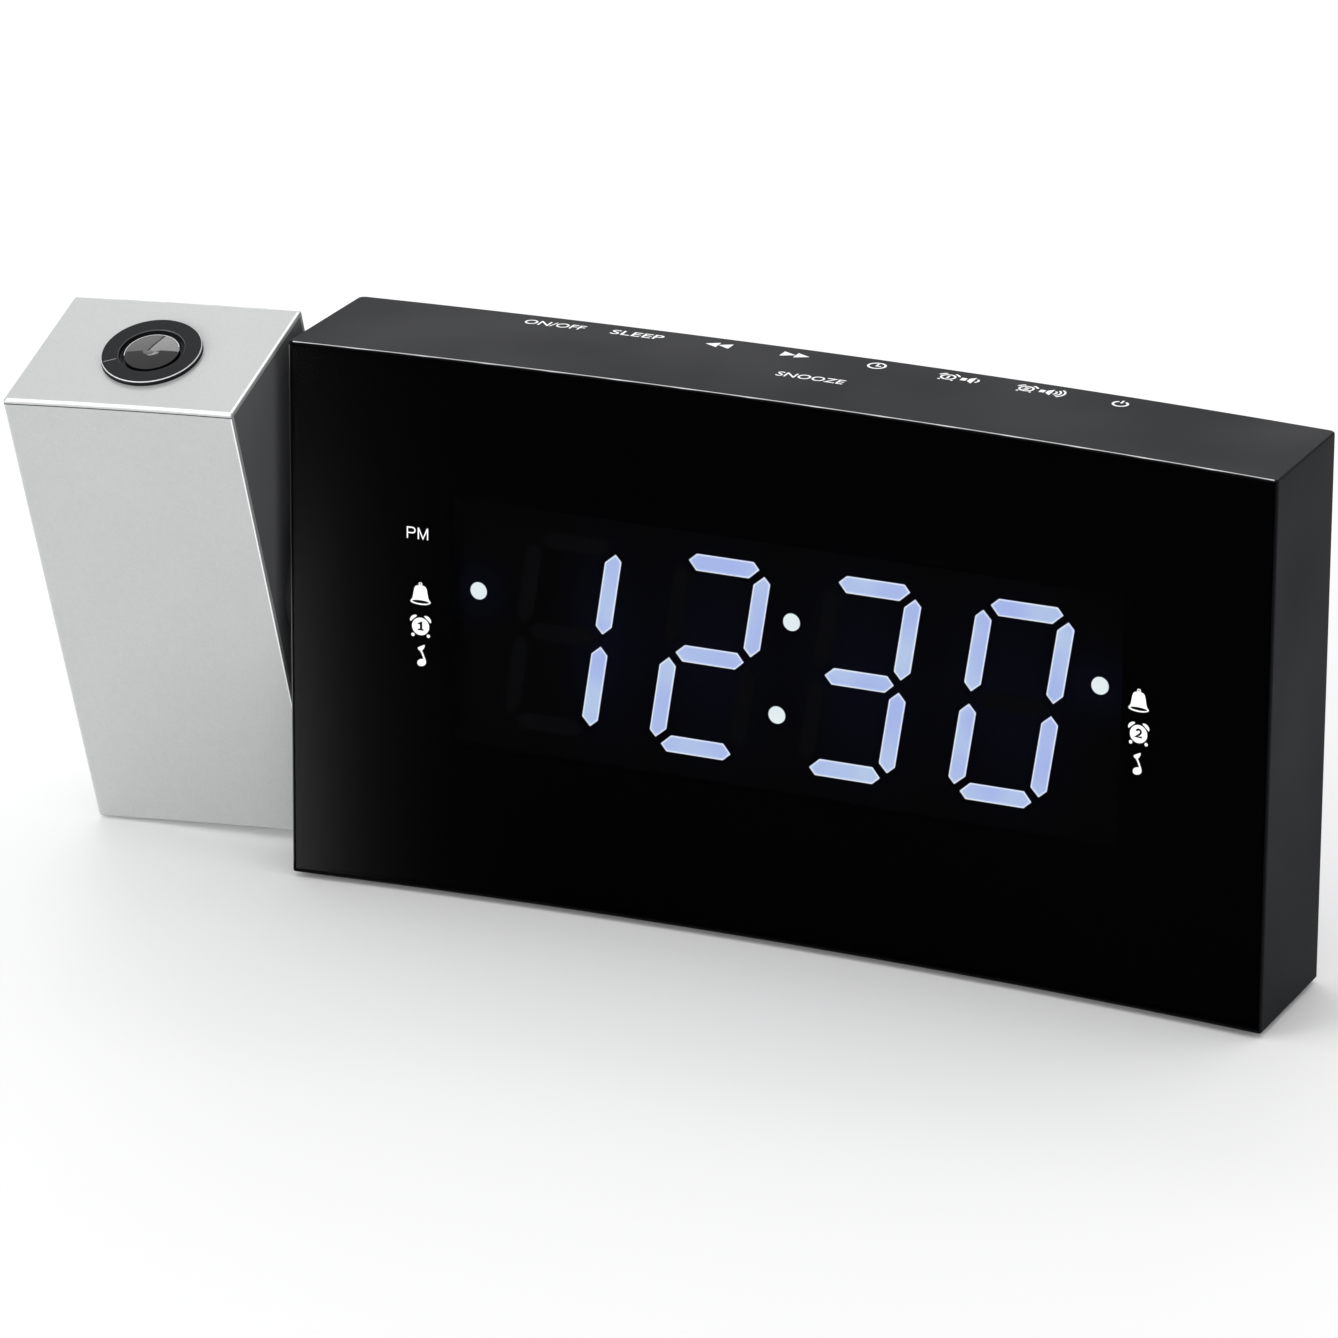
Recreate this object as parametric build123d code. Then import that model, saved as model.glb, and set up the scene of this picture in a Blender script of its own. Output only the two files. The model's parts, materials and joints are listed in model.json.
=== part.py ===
from build123d import *
import math
import os

# ---------------------------------------------------------------- driving dimensions (mm)
CASE_H = 78.0          # height of the case
FOOT = 0.8             # feet stand this far below the case
TOTAL_W = 181.0        # left end of the pod to right end of the case
POD_W = 33.5           # width of the projector pod
GAP = 2.3              # gap between pod and case
R_FRONT = 722.0        # radius of the concave front
DEPTH = 23.6           # thickness of the curved slab
POD_DEPTH = 24.2
POD_H = 75.4
POD_TILT = 21.3        # forward tilt of the pod at rest, degrees
WALL = 2.0
LIP = 0.4              # case lip that frames the front lens
LENS_T = 2.0
FLANGE_IN = 3.6        # inner face of the front flange
COVER_T = 2.0

DIGIT_PITCH = 22.28
DIGIT_MID_X = 17.79
DIGIT_RISE = 0.10      # digit centres above the middle of the case
DIGIT_SLANT = math.tan(math.radians(8.4))
SEG_OUT_X = 7.21       # outer and inner edges of an upright segment from the digit's centre line
SEG_IN_X = 4.74
SEG_TOP_Z = 14.69      # outer and inner edges of the top segment from the digit's centre
SEG_BAR_Z = 12.20
SEG_MID_T = 1.24       # half thickness of the middle segment
DOT_R = 1.27
COLON_Z = 6.85
INDICATOR_X = 46.2
INDICATOR_Z = 4.6

KEY_X0 = -24.1
KEY_PITCH = 12.06
KEY_W = 8.6
KEY_H = 4.6
KEY_Z = 70.5
KEY_TRAVEL = 0.5
KEY_CLEAR = 0.25
KEY_NAMES = ["key_on_off", "key_sleep", "key_tune_back", "key_tune_forward",
             "key_clock_set", "key_alarm_one", "key_alarm_two", "key_projector_power"]

RING_R = 7.12
RING_PROUD = 0.7      # focus ring stands this far above the pod top
RING_HOLE_R = 4.65
LIP_HOLE_R = 4.2
PLENS_R = 3.9           # projection lens
FOCUS_TRAVEL = 0.6     # half of the full travel of the lens cell
SPEAKER = (66.0, 36.0)
BATTERY = (10.0, 24.0)
JACK = (-38.0, 13.0)
DOOR_TRAVEL = 6.0

# ---------------------------------------------------------------- derived
XL = -TOTAL_W / 2
XP = XL + POD_W
XB0 = XP + GAP
XB1 = TOTAL_W / 2
Z0 = FOOT
Z1 = FOOT + CASE_H
ZM = (Z0 + Z1) / 2


def arc_y(x, d):
    """y of the slab surface at depth d behind the front face."""
    return -R_FRONT + math.sqrt((R_FRONT + d) ** 2 - x * x)


POD_X = (XL + XP) / 2
PIV_Y = arc_y(POD_X, 0) + DEPTH / 2
PIV_Z = 40.3


def slab(x0, x1, d0, d1, z0, z1):
    """Piece of the curved slab between two depths."""
    xm = (x0 + x1) / 2
    a = (x0, arc_y(x0, d0), z0)
    b = (x1, arc_y(x1, d0), z0)
    c = (x1, arc_y(x1, d1), z0)
    d = (x0, arc_y(x0, d1), z0)
    wire = Wire([ThreePointArc(a, (xm, arc_y(xm, d0), z0), b), Line(b, c),
                 ThreePointArc(c, (xm, arc_y(xm, d1), z0), d), Line(d, a)])
    return extrude(Face(wire), amount=z1 - z0, dir=(0, 0, 1))


def bx(x0, x1, y0, y1, z0, z1):
    return Pos((x0 + x1) / 2, (y0 + y1) / 2, (z0 + z1) / 2) * Box(x1 - x0, y1 - y0, z1 - z0)


def cx(x0, x1, y, z, r):
    return Pos((x0 + x1) / 2, y, z) * Rot(0, 90, 0) * Cylinder(r, x1 - x0)


def cy(y0, y1, x, z, r):
    return Pos(x, (y0 + y1) / 2, z) * Rot(90, 0, 0) * Cylinder(r, y1 - y0)


def cz(z0, z1, x, y, r):
    return Pos(x, y, (z0 + z1) / 2) * Cylinder(r, z1 - z0)


def group(items):
    solids = []
    for it in items:
        solids += list(it.solids())
    return Compound(solids)


def edges_where(shape, test):
    return [e for e in shape.edges() if test(e.center(), e)]


parts = {}

# ---------------------------------------------------------------- case
case = slab(XB0, XB1, 0, DEPTH, Z0, Z1)
case = fillet(edges_where(case, lambda c, e: abs(c.Z - ZM) < 1 and abs(c.Y - arc_y(c.X, DEPTH)) < 0.1), 1.1)
case = fillet(edges_where(case, lambda c, e: abs(c.Z - ZM) < 1 and abs(c.Y - arc_y(c.X, 0)) < 0.1), 0.38)
case = fillet(edges_where(case, lambda c, e: abs(c.Z - Z0) < 0.01 or abs(c.Z - Z1) < 0.01), 0.3)
case -= slab(XB0 + LIP, XB1 - LIP, -1, LENS_T + 0.05, Z0 + LIP, Z1 - LIP)
case -= slab(XB0 + WALL, XB1 - WALL, FLANGE_IN, DEPTH + 1, Z0 + WALL, Z1 - WALL)
case -= slab(XB0 + 1.2, XB1 - 1.2, DEPTH - COVER_T, DEPTH + 1, Z0 + 1.2, Z1 - 1.2)
case -= slab(-32, 68, LENS_T - 0.1, FLANGE_IN + 0.1, 21.5, 58.2)
case -= cx(XB0 - 1, XB0 + WALL + 1, PIV_Y, PIV_Z, 6.02)

BOSS = [(-47.5, 8.5), (-47.5, 70.5), (83.5, 8.5), (83.5, 70.5)]
for x, z in BOSS:
    y1 = arc_y(x, DEPTH - COVER_T) - 0.45
    case += cy(arc_y(x, FLANGE_IN) - 0.6, y1, x, z, 3.0)
    case -= cy(y1 - 12, y1 + 1, x, z, 1.12)
DISP_Y = 2.2
DISP_AXIS = Axis((DIGIT_MID_X, DISP_Y, 0), (0, 0, 1))
DISP_TURN = -math.degrees(math.asin(DIGIT_MID_X / R_FRONT))


def display(shape):
    """Turns a display piece about the digits' middle, so that it lies parallel to the curved front there."""
    return shape.rotate(DISP_AXIS, DISP_TURN)


DISP_POST = [(-36, 23), (-36, 57), (72, 23), (72, 57)]
for x, z in DISP_POST:
    root = arc_y(x, FLANGE_IN) - 0.6 + (x - DIGIT_MID_X) * math.sin(math.radians(-DISP_TURN))
    case += display(cy(root, 8.2, x, z, 2.0))
    case -= display(cy(root + 1.9, 9, x, z, 0.82))
KEY_POST = [(-29.4, 69.0), (65.4, 69.0)]
for x, z in KEY_POST:
    case += cy(arc_y(x, FLANGE_IN) - 0.6, 12.5, x, z, 1.6)
    case -= cy(8, 13, x, z, 0.82)

FEET = []
for x in (-40.0, 76.0):
    for d in (5.5, 18.0):
        FEET.append((x, arc_y(x, d)))
foot_list = []
for x, y in FEET:
    sk = Pos(x, y, 0) * RectangleRounded(15, 4.6, 1.6)
    foot_list.append(chamfer(extrude(sk, amount=FOOT + 0.6).edges().group_by(Axis.Z)[0], 0.2))
    case -= Pos(0, 0, FOOT - 1) * extrude(Pos(x, y, 0) * RectangleRounded(15.1, 4.7, 1.65), amount=1.6)
parts["main_case"] = case
parts["rubber_feet"] = group(foot_list)

# ---------------------------------------------------------------- front lens
lens = slab(XB0 + LIP + 0.05, XB1 - LIP - 0.05, 0.0, LENS_T, Z0 + LIP + 0.05, Z1 - LIP - 0.05)
lens = fillet(edges_where(lens, lambda c, e: abs(c.Y - arc_y(c.X, 0)) < 0.5), 0.25)
parts["front_lens"] = lens

# ---------------------------------------------------------------- rear cover
cover = slab(XB0 + 1.25, XB1 - 1.25, DEPTH - COVER_T, DEPTH, Z0 + 1.25, Z1 - 1.25)
key_x = [KEY_X0 + KEY_PITCH * i for i in range(8)]
for x in key_x:
    cover -= bx(x - KEY_W / 2 - KEY_CLEAR, x + KEY_W / 2 + KEY_CLEAR, 10, 30,
                KEY_Z - KEY_H / 2 - KEY_CLEAR, KEY_Z + KEY_H / 2 + KEY_CLEAR)
sx, sz = SPEAKER
for i in range(-4, 5):
    half = math.sqrt(13.0 ** 2 - (i * 2.9) ** 2)
    slot = Pos(sx, 20, sz + i * 2.9) * Rot(90, 0, 0) * extrude(SlotOverall(2 * half, 1.4), amount=12, both=True)
    cover -= slot
jx, jz = JACK
cover -= cy(10, 30, jx, jz, 3.9)
ring = cy(13.2, 24, sx, sz, 16.2) - cy(12, 25, sx, sz, 14.9)
cover += ring & slab(XB0 + 3, XB1 - 3, 5, DEPTH - COVER_T + 0.4, Z0 + 3, Z1 - 3)

bxc, bzc = BATTERY
DOOR_Y = arc_y(bxc - 12, DEPTH) - 1.35
cover -= bx(bxc - 12.2, bxc + 12.2, DOOR_Y, 30, bzc - 13.2, bzc + 13.2 + DOOR_TRAVEL)
cover -= cy(10, 30, bxc, bzc, 10.5)
MAIN_POST = [(-40, 24), (-40, 60), (34, 45), (34, 60)]
for x, z in MAIN_POST:
    cover += cy(15.1, arc_y(x, DEPTH - COVER_T) + 0.5, x, z, 2.0)
    cover -= cy(14, 19, x, z, 0.82)
for x, z in BOSS:
    ys = arc_y(x, DEPTH)
    cover -= cy(ys - 4, ys + 2, x, z, 1.5)
    cover -= cy(ys - 1.1, ys + 2, x, z, 2.7)
parts["rear_cover"] = cover

screws = []
for x, z in BOSS:
    ys = arc_y(x, DEPTH)
    head = cy(ys - 1.05, ys - 0.15, x, z, 2.45)
    head -= bx(x - 1.5, x + 1.5, ys - 0.7, ys, z - 0.3, z + 0.3)
    head -= bx(x - 0.3, x + 0.3, ys - 0.7, ys, z - 1.5, z + 1.5)
    screws.append(head + cy(ys - 11, ys - 1.0, x, z, 1.08))
parts["rear_cover_screws"] = group(screws)

# ---------------------------------------------------------------- display
DX = [DIGIT_MID_X + DIGIT_PITCH * k for k in (-1.5, -0.5, 0.5, 1.5)]
DISP_Z = ZM + DIGIT_RISE
SHOW = {0: "bc", 1: "abged", 2: "abgcd", 3: "abcdef"}
TOP_SEG = [(-5.27, 13.62), (-4.22, SEG_TOP_Z), (4.30, SEG_TOP_Z), (5.30, 13.64), (3.95, SEG_BAR_Z), (-3.92, SEG_BAR_Z)]
MID_SEG = [(-5.15, 0.0), (-3.93, SEG_MID_T), (3.95, SEG_MID_T), (5.12, 0.0), (3.98, -SEG_MID_T), (-3.92, -SEG_MID_T)]
SIDE_SEG = [(6.17, 12.80), (SEG_OUT_X, 11.80), (SEG_OUT_X, 2.10), (5.98, 0.87), (SEG_IN_X, 2.07), (SEG_IN_X, 11.45)]


def flip(points, fu, fv):
    return [(u * fu, v * fv) for u, v in points]


SEGS = {"a": TOP_SEG, "g": MID_SEG, "d": flip(TOP_SEG, 1, -1), "b": SIDE_SEG, "f": flip(SIDE_SEG, -1, 1),
        "c": flip(SIDE_SEG, 1, -1), "e": flip(SIDE_SEG, -1, -1)}


def seg_solid(dx, name, y0, y1, shrink=0.0):
    pts = SEGS[name]
    mu = sum(u for u, v in pts) / len(pts)
    mv = sum(v for u, v in pts) / len(pts)
    hu = max(abs(u - mu) for u, v in pts)
    hv = max(abs(v - mv) for u, v in pts)
    world = []
    for u, v in pts:
        uu = mu + (u - mu) * (1 - shrink / hu)
        vv = mv + (v - mv) * (1 - shrink / hv)
        world.append((dx + uu + vv * DIGIT_SLANT, y0, DISP_Z + vv))
    face = Face(Wire.make_polygon(world, close=True))
    return extrude(face, amount=y1 - y0, dir=(0, 1, 0))


reflector = bx(-31.2, 67.2, DISP_Y, DISP_Y + 6, 22.0, 57.6)
lit, unlit, leds = [], [], []
for k, dx in enumerate(DX):
    for name, pts in SEGS.items():
        reflector -= seg_solid(dx, name, DISP_Y - 0.5, DISP_Y + 6.5)
        s = seg_solid(dx, name, DISP_Y, DISP_Y + 1.5, 0.03)
        (lit if name in SHOW[k] else unlit).append(s)
        v0 = sum(v for u, v in pts) / len(pts)
        lx, lz = dx + sum(u for u, v in pts) / len(pts) + v0 * DIGIT_SLANT, DISP_Z + v0
        leds.append(bx(lx - 0.8, lx + 0.8, 7.5, 8.2, lz - 0.5, lz + 0.5))
dots = []
DOTS = [(DIGIT_MID_X + COLON_Z * DIGIT_SLANT, DISP_Z + COLON_Z), (DIGIT_MID_X - COLON_Z * DIGIT_SLANT, DISP_Z - COLON_Z),
        (DIGIT_MID_X - INDICATOR_X, ZM + INDICATOR_Z), (DIGIT_MID_X + INDICATOR_X, ZM + INDICATOR_Z)]
for x, z in DOTS:
    reflector -= cy(DISP_Y - 0.5, DISP_Y + 6.5, x, z, DOT_R)
    dots.append(cy(DISP_Y, DISP_Y + 1.5, x, z, DOT_R - 0.03))
    leds.append(bx(x - 0.8, x + 0.8, 7.5, 8.2, z - 0.5, z + 0.5))
parts["display_reflector"] = display(reflector)
parts["display_segments_lit"] = group([display(s) for s in lit])
parts["display_segments_unlit"] = group([display(s) for s in unlit])
parts["display_dots"] = group([display(s) for s in dots])
parts["display_leds"] = group([display(s) for s in leds])

board = bx(-38.5, 74.5, 8.2, 9.8, 20.0, 60.5)
for x, z in DISP_POST:
    board -= cy(7, 11, x, z, 1.1)
parts["display_board"] = display(board)

# ---------------------------------------------------------------- main board and what is on it
main_pcb = bx(-43.5, 38, 13.5, 15.1, 20.5, 63.5)
for x, z in MAIN_POST:
    main_pcb -= cy(13, 16, x, z, 1.1)
parts["main_board"] = main_pcb
chip = bx(8, 20, 15.1, 16.6, 46, 58)
for i in range(8):
    chip += bx(8.9 + i * 1.4, 9.4 + i * 1.4, 15.1, 15.4, 45, 59)
parts["controller_chip"] = chip
parts["quartz_crystal"] = fillet(bx(24, 30, 15.1, 17.1, 40, 42.4).edges().filter_by(Axis.Y), 1.1)
can = bx(-30, -13, 15.1, 18.1, 43, 59)
can = fillet(can.edges().group_by(Axis.Y)[-1], 0.5)
parts["tuner_module"] = can

KEYB_Y = 12.5
key_board = bx(-31.6, 67.4, KEYB_Y, KEYB_Y + 1.2, 65.8, 75.4)
for x, z in KEY_POST:
    key_board -= cy(12, 14, x, z, 1.1)
parts["key_board"] = key_board
tacts = []
TACT_TOP = 16.4
for x in key_x:
    t = bx(x - 3 + 0.6, x + 3 - 0.6, KEYB_Y + 1.2, TACT_TOP - 0.3, KEY_Z - 3, KEY_Z + 3)
    t += cy(TACT_TOP - 0.4, TACT_TOP, x, KEY_Z, 1.5)
    tacts.append(t)
parts["tact_switches"] = group(tacts)


def board_screw(x, z, y_face, sgn):
    """Small pan-head screw, head on the board face at y_face, shank running the other way."""
    head = cy(min(y_face, y_face + sgn * 1.0), max(y_face, y_face + sgn * 1.0), x, z, 1.6)
    y_tip = y_face - sgn * 4.4
    return head + cy(min(y_face, y_tip), max(y_face, y_tip), x, z, 0.8)


bs = [display(board_screw(x, z, 9.8, 1)) for x, z in DISP_POST]
bs += [board_screw(x, z, KEYB_Y + 1.2, 1) for x, z in KEY_POST]
bs += [board_screw(x, z, 13.5, -1) for x, z in MAIN_POST]
parts["board_screws"] = group(bs)

# ---------------------------------------------------------------- keys
for name, x in zip(KEY_NAMES, key_x):
    ys = arc_y(x, DEPTH)
    inner = min(arc_y(x - 5.2, DEPTH - COVER_T), arc_y(x + 5.2, DEPTH - COVER_T)) - 0.1
    cap = bx(x - KEY_W / 2, x + KEY_W / 2, inner - 0.9, ys + 0.6, KEY_Z - KEY_H / 2, KEY_Z + KEY_H / 2)
    cap = fillet(cap.edges().filter_by(Axis.Y), 0.6)
    cap = fillet(cap.edges().group_by(Axis.Y)[-1], 0.35)
    cap += bx(x - KEY_W / 2 - 0.8, x + KEY_W / 2 + 0.8, inner - 0.9, inner, KEY_Z - KEY_H / 2 - 0.8, KEY_Z + KEY_H / 2 + 0.8)
    cap += cy(TACT_TOP + KEY_TRAVEL + 0.06, inner - 0.5, x, KEY_Z, 1.1)
    parts[name] = cap

# ---------------------------------------------------------------- speaker
parts["speaker_frame"] = (cy(15.7, 16.9, sx, sz, 14.6) - cy(15, 17.5, sx, sz, 12.4)
                          + (Pos(sx, 14.4, sz) * Rot(-90, 0, 0) * Cone(8.2, 14.0, 2.6)
                             - Pos(sx, 14.4, sz) * Rot(-90, 0, 0) * Cone(7.0, 12.8, 2.61)))
parts["speaker_magnet"] = cy(10.3, 13.1, sx, sz, 9.0) - cy(12.0, 13.2, sx, sz, 4.2)
cone_o = Pos(sx, 14.9, sz) * Rot(-90, 0, 0) * Cone(4.0, 12.2, 2.6)
cone_i = Pos(sx, 15.25, sz) * Rot(-90, 0, 0) * Cone(4.0, 12.2, 2.6)
parts["speaker_cone"] = cone_o - cone_i

# ---------------------------------------------------------------- supply inlet
jy = arc_y(jx, DEPTH - COVER_T) - 0.3
jack = bx(jx - 4.5, jx + 4.5, jy - 12, jy, jz - 5.5, jz + 5.5) + cy(jy - 1, jy + 1.6, jx, jz, 3.8)
jack -= cy(jy - 9.5, jy + 3, jx, jz, 2.9)
parts["dc_jack"] = jack
parts["dc_jack_pin"] = fillet(cy(jy - 9.5, jy + 0.4, jx, jz, 1.0).edges().group_by(Axis.Y)[-1], 0.4)

# ---------------------------------------------------------------- back-up battery
holder = bx(bxc - 12.2, bxc + 12.2, 16.8, 21.4, bzc - 12.2, bzc + 12.2) - cy(17.8, 22, bxc, bzc, 10.4)
parts["battery_holder"] = holder & slab(-40, 60, 0, DEPTH - COVER_T - 0.02, 0, 80)
parts["battery_contact"] = bx(bxc - 5, bxc + 5, 17.8, 18.0, bzc - 2, bzc + 2)
cell = cy(18.02, 21.22, bxc, bzc, 10.0)
parts["coin_cell"] = fillet(cell.edges(), 0.3)
door = slab(bxc - 12, bxc + 12, DEPTH - 2.0, DEPTH, bzc - 13, bzc + 13) & bx(-20, 40, DOOR_Y + 0.05, 40, 0, 60)
door = fillet(edges_where(door, lambda c, e: c.Y > DOOR_Y + 1.0 and abs(c.Y - arc_y(c.X, DEPTH)) < 0.4), 0.25)
for i in range(4):
    zc = bzc + 5.5 + i * 1.6
    door -= bx(bxc - 5, bxc + 5, arc_y(bxc, DEPTH) - 0.35, 30, zc - 0.35, zc + 0.35)
parts["battery_door"] = door

# ---------------------------------------------------------------- snooze electrode
parts["snooze_touch_plate"] = slab(-2, 38, 5.5, 15.5, Z1 - WALL - 0.35, Z1 - WALL - 0.02)

# ---------------------------------------------------------------- pod pivot
parts["pivot_bush"] = (cx(XB0 - 1.0, XB0, PIV_Y, PIV_Z, 7.6) + cx(XB0 - 0.5, XB0 + 5.2, PIV_Y, PIV_Z, 6.0)
                       - cx(XB0 - 3, XB0 + 8, PIV_Y, PIV_Z, 4.6))
HUB_END = XB0 + 7.0
hub = cx(XP - 3.4, XP - 2.0, PIV_Y, PIV_Z, 8.0) + cx(XP - 3.0, HUB_END, PIV_Y, PIV_Z, 4.55)
hub -= cx(XP - 5, HUB_END + 2, PIV_Y, PIV_Z, 2.2)
groove = cx(XB0 + 5.3, XB0 + 6.1, PIV_Y, PIV_Z, 6.0) - cx(XB0 + 5, XB0 + 7, PIV_Y, PIV_Z, 3.9)
hub -= groove
parts["pivot_hub"] = hub
parts["friction_washer"] = cx(XP, XB0 - 1.1, PIV_Y, PIV_Z, 7.4) - cx(XP - 1, XB0 + 1, PIV_Y, PIV_Z, 4.62)
parts["hub_clip"] = (cx(XB0 + 5.35, XB0 + 6.05, PIV_Y, PIV_Z, 5.8) - cx(XB0 + 5, XB0 + 7, PIV_Y, PIV_Z, 3.95)
                     - bx(XB0 + 5, XB0 + 7, PIV_Y - 2.4, PIV_Y + 2.4, PIV_Z - 9, PIV_Z))
parts["pod_lead"] = cx(XP - 4.2, -45.2, PIV_Y, PIV_Z, 0.9)
parts["lead_socket"] = bx(-45.2, -40.2, PIV_Y - 2.6, 13.5, PIV_Z - 3.2, PIV_Z + 3.2)

# ---------------------------------------------------------------- projector pod (built upright, tilted at the end)
PF = (DEPTH - POD_DEPTH) / 2
PB = PF + POD_DEPTH
PZ0, PZ1 = PIV_Z - POD_H / 2, PIV_Z + POD_H / 2
pod = {}
shell = slab(XL, XP, PF, PB, PZ0, PZ1)
shell = fillet([e for e in shell.edges() if abs(e.center().X - XL) < 0.01 and abs(e.center().Z - PIV_Z) < 1], 0.5)
for z, r in ((PZ0, 0.45), (PZ1, 0.46)):
    shell = fillet([e for e in shell.edges() if abs(e.center().X - XP) > 0.5 and abs(e.center().Z - z) < 0.01], r)
shell = fillet([e for e in shell.edges() if abs(e.center().X - XP) < 0.01], 0.15)
# fine joint line under the top edge of the front
shell -= slab(XL - 1, XP + 1, PF - 1, PF + 0.2, PZ1 - 0.66, PZ1 - 0.48)
shell -= slab(XL + WALL, XP + 2, PF + WALL, PB - WALL, PZ0 + WALL, PZ1 - WALL)
shell -= slab(XP - 2.0, XP + 2, PF + 0.7, PB - 0.7, PZ0 + 0.7, PZ1 - 0.7)
POD_POST = [(PIV_Y - 7.1, PIV_Z - 31), (PIV_Y + 9.4, PIV_Z - 31), (PIV_Y + 9.4, PIV_Z + 31)]
for y, z in POD_POST:
    shell += cx(XP - 7.2, XP - 2.05, y, z, 2.4)
    shell -= cx(XP - 6.9, XP, y, z, 0.92)
shell -= cz(PZ1 - 5, PZ1 + 2, POD_X, PIV_Y, RING_R + 0.05)
pod["pod_shell"] = shell

side = slab(XP - 2.0, XP, PF + 0.75, PB - 0.75, PZ0 + 0.75, PZ1 - 0.75)
side -= cx(XP - 3, XP + 1, PIV_Y, PIV_Z, 4.58)
for y, z in POD_POST:
    side -= cx(XP - 3, XP + 1, y, z, 1.2)
    side -= cx(XP - 1.1, XP + 1, y, z, 2.2)
pod["pod_side_cover"] = side
ps = []
for y, z in POD_POST:
    h = cx(XP - 1.1, XP - 0.25, y, z, 2.05) - bx(XP - 0.8, XP, y - 1.3, y + 1.3, z - 0.3, z + 0.3) \
        - bx(XP - 0.8, XP, y - 0.3, y + 0.3, z - 1.3, z + 1.3)
    ps.append(h + cx(XP - 6.6, XP - 1.0, y, z, 0.88))
pod["pod_screws"] = group(ps)

TUBE_TOP = PZ1 - 3.6
housing = cz(PIV_Z - 10, TUBE_TOP, POD_X, PIV_Y, 9.2)
housing += bx(XL + WALL + 0.05, POD_X - 8, PIV_Y - 6, PIV_Y + 6, PIV_Z - 8, PIV_Z - 2)
housing += bx(POD_X + 7.5, POD_X + 9.6, PIV_Y - 3.4, PIV_Y + 3.4, PIV_Z - 3.4, PIV_Z + 3.4)
housing -= cz(PIV_Z - 11, TUBE_TOP + 1, POD_X, PIV_Y, 7.6)
pod["projector_housing"] = housing
pod["pod_socket"] = bx(POD_X + 9.6, XP - 4.4, PIV_Y - 3, PIV_Y + 3, PIV_Z - 3, PIV_Z + 3)
pboard = bx(POD_X - 9.5, POD_X + 9.5, PIV_Y - 8.5, PIV_Y + 7.5, PIV_Z - 11.6, PIV_Z - 10)
pod["projector_board"] = pboard
sink = bx(POD_X - 9, POD_X + 9, PIV_Y - 8, PIV_Y + 7, PIV_Z - 13.6, PIV_Z - 11.6)
for i in range(5):
    sink += bx(POD_X - 9 + i * 4.2, POD_X - 7.8 + i * 4.2, PIV_Y - 8, PIV_Y + 7, PIV_Z - 18.6, PIV_Z - 13.6)
pod["heat_sink"] = sink
led = cz(PIV_Z - 10, PIV_Z - 8.6, POD_X, PIV_Y, 3.0) + Pos(POD_X, PIV_Y, PIV_Z - 8.6) * Sphere(2.2)
pod["projector_led"] = led & bx(-200, 0, -50, 60, PIV_Z - 10, 100)
cond = cz(PIV_Z + 2, PIV_Z + 4, POD_X, PIV_Y, 7.5)
dome = Pos(POD_X, PIV_Y, PIV_Z + 4 - 7.2) * Sphere(10.4)
pod["condenser_lens"] = cond + (dome & cz(PIV_Z + 3.5, PIV_Z + 9, POD_X, PIV_Y, 7.5))
pod["projection_lcd"] = bx(POD_X - 5, POD_X + 5, PIV_Y - 5, PIV_Y + 5, PIV_Z + 10, PIV_Z + 11.4)

# focus ring: low puck proud of the pod top, stepped mouth, skirt and retaining rim below
RING_TOP = PZ1 + RING_PROUD
ROOF = PZ1 - 0.25
ring = cz(PZ1 - 13, RING_TOP, POD_X, PIV_Y, RING_R)
ring = fillet([e for e in ring.edges() if e.center().Z > PZ1], 0.2)
ring += cz(PZ1 - 3.5, PZ1 - 2.1, POD_X, PIV_Y, 8.3)
ring -= cz(PZ1 - 14, ROOF, POD_X, PIV_Y, 5.45)
ring -= cz(PZ1 - 3, PZ1 + 2, POD_X, PIV_Y, LIP_HOLE_R)
ring -= cz(RING_TOP - 0.55, PZ1 + 2, POD_X, PIV_Y, RING_HOLE_R)
ring = chamfer([e for e in ring.edges() if abs(e.center().Z - RING_TOP) < 0.01 and e.length < 2 * math.pi * 5], 0.12)
pod["focus_ring"] = ring
# drawn at the upper end of the focus travel, screwed right up to the ring's roof
cell_top = ROOF - 0.12
lens_cell = cz(PZ1 - 15 + FOCUS_TRAVEL, cell_top, POD_X, PIV_Y, 5.4) - cz(PZ1 - 16, cell_top + 1, POD_X, PIV_Y, 4.5)
rim_z = cell_top - 0.05
lens_cell += cz(rim_z - 1.8, cell_top, POD_X, PIV_Y, 5.0) - cz(rim_z - 2, cell_top + 1, POD_X, PIV_Y, 3.4) \
    - cz(rim_z - 0.8, cell_top + 1, POD_X, PIV_Y, PLENS_R + 0.04)
pod["lens_cell"] = lens_cell
# weakly domed front element: here, at the upper end of its travel, it stays below the ring's top
plens_edge = PZ1 - 0.15 + FOCUS_TRAVEL
dome_r = 45.0
dome = Pos(POD_X, PIV_Y, plens_edge - math.sqrt(dome_r ** 2 - PLENS_R ** 2)) * Sphere(dome_r)
pod["projection_lens"] = dome & cz(rim_z - 0.8, PZ1 + 3, POD_X, PIV_Y, PLENS_R)

tilt_axis = Axis((0, PIV_Y, PIV_Z), (1, 0, 0))
for name, shape in pod.items():
    parts[name] = shape.rotate(tilt_axis, POD_TILT)
for name in ("pivot_hub", "friction_washer", "hub_clip"):
    parts[name] = parts[name].rotate(tilt_axis, POD_TILT)

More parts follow.
